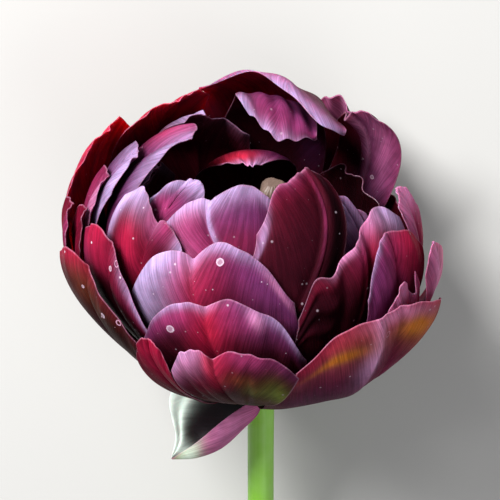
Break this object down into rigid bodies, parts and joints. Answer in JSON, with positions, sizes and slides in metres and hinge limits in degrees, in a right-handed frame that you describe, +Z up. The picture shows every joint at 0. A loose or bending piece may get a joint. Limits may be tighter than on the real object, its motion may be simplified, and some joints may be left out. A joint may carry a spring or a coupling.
{
  "type": "cut double tulip flower",
  "caption": "Cut double tulip with near-black purple petals in packed layers, lying down on its bloom and the end of its curved green stem.",
  "frame": {"origin": "centre of the bounding box in plan, on the surface that the flower lies on", "axes": "+Z up; +Y along the flower from the cut end of the stem to the tip of the bloom; +X to the right in the picture's view"},
  "size_m": [0.0882, 0.2074, 0.0907],
  "materials": {
    "petal": "satin petal, near-black purple with lavender sheen, red by the midribs",
    "stem": "smooth fresh green, slightly waxy",
    "pistil": "matte pale green and cream",
    "stamen": "matte near-black with pollen grain"
  },
  "bodies": {
    "root": {"petal_back_left": "petal", "petal_back_left_inner": "petal", "petal_back_right": "petal", "petal_back_top": "petal", "petal_back_top_inner": "petal", "petal_front_fifth": "petal", "petal_front_fourth": "petal", "petal_front_low": "petal", "petal_front_low_left": "petal", "petal_front_second": "petal", "petal_front_third": "petal", "petal_hanging": "petal", "petal_heart_flange": "petal", "petal_heart_left": "petal", "petal_heart_right": "petal", "petal_inner_back": "petal", "petal_inner_front": "petal", "petal_inner_left": "petal", "petal_inner_right": "petal", "petal_left_curled": "petal", "petal_left_low": "petal", "petal_left_narrow": "petal", "petal_left_outer": "petal", "petal_left_second": "petal", "petal_left_small": "petal", "petal_left_strip": "petal", "petal_left_tip_inner": "petal", "petal_left_tip_outer": "petal", "petal_right_back": "petal", "petal_right_folded": "petal", "petal_right_low": "petal", "petal_right_outer": "petal", "petal_right_second": "petal", "petal_right_small": "petal", "petal_right_third": "petal", "petal_right_under": "petal", "petal_under": "petal", "petal_under_left": "petal", "pistil": "pistil", "stamen_1": "stamen", "stamen_2": "stamen", "stamen_3": "stamen", "stamen_4": "stamen", "stamen_5": "stamen", "stamen_6": "stamen", "stem": "stem"}
  },
  "joints": []
}
